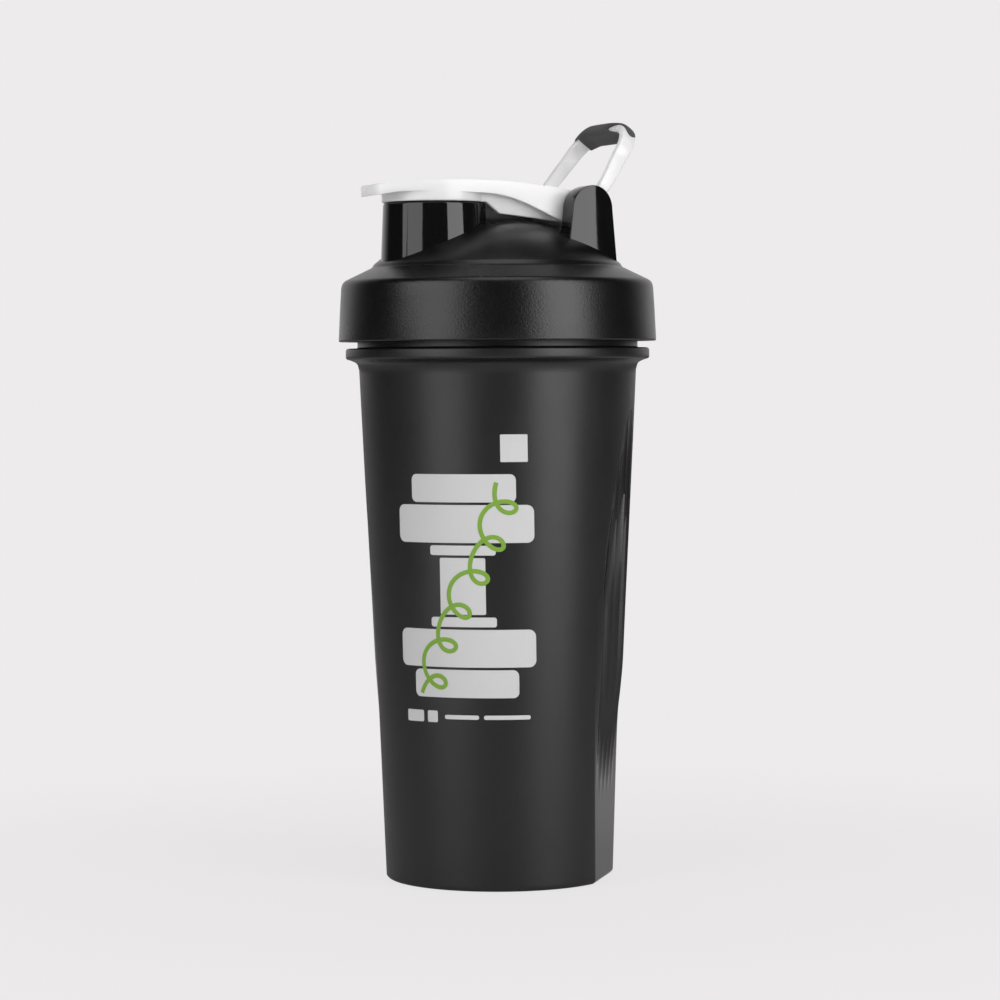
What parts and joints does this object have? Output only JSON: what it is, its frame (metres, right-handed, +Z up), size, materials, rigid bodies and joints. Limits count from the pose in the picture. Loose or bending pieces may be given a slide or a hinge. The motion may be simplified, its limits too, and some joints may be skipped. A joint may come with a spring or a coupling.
{
  "type": "protein shaker bottle",
  "caption": "Tapered screw-lid shaker cup with fluted grip panels, flip-cap spout, leaning carry loop and a loose wire whisk ball inside.",
  "frame": {"origin": "centre of the base on the surface that the bottle stands on", "axes": "+Z up the bottle's axis, -X towards the spout, +X towards the hinge, Y along the hinge axis"},
  "size_m": [0.1002, 0.1002, 0.24],
  "materials": {
    "cup_black": "fine satin matte black moulding, grip panels polished",
    "lid_black": "spark-textured matte black, spout and ears gloss",
    "cap_white": "gloss white moulding",
    "seal_silicone": "translucent grey silicone",
    "grip_rubber": "dark grey soft-touch rubber",
    "wire_steel": "drawn stainless wire"
  },
  "bodies": {
    "cup": {"cup": "cup_black"},
    "seal": {"lid_gasket": "seal_silicone"},
    "lid": {"lid": "lid_black"},
    "flip_cap": {"flip_cap": "cap_white", "spout_seal": "seal_silicone"},
    "carry_loop": {"carry_loop": "cap_white", "loop_grip": "grip_rubber"},
    "whisk_ball": {"whisk_ball": "wire_steel"}
  },
  "joints": [
    {"name": "lid_rise", "type": "slide", "parent": "cup", "child": "seal", "axis": [0, 0, 1], "range_m": [0, 0.00626]},
    {"name": "lid_unscrew", "type": "hinge", "parent": "seal", "child": "lid", "pos_m": [0, 0, 0.18], "axis": [0, 0, 1], "range_deg": [0, 450]},
    {"name": "flip_cap_open", "type": "hinge", "parent": "lid", "child": "flip_cap", "pos_m": [0.0221, 0, 0.2105], "axis": [0, 1, 0], "range_deg": [0, 80]},
    {"name": "carry_loop_swing", "type": "hinge", "parent": "lid", "child": "carry_loop", "pos_m": [0.0221, 0, 0.2105], "axis": [0, 1, 0], "range_deg": [0, 60]},
    {"name": "ball_rise", "type": "slide", "parent": "cup", "child": "whisk_ball", "axis": [0, 0, 1], "range_m": [0, 0.14]}
  ],
  "couplings": [
    {"joint": "lid_rise", "follows": "lid_unscrew", "m_per_rad": 0.00079577}
  ]
}
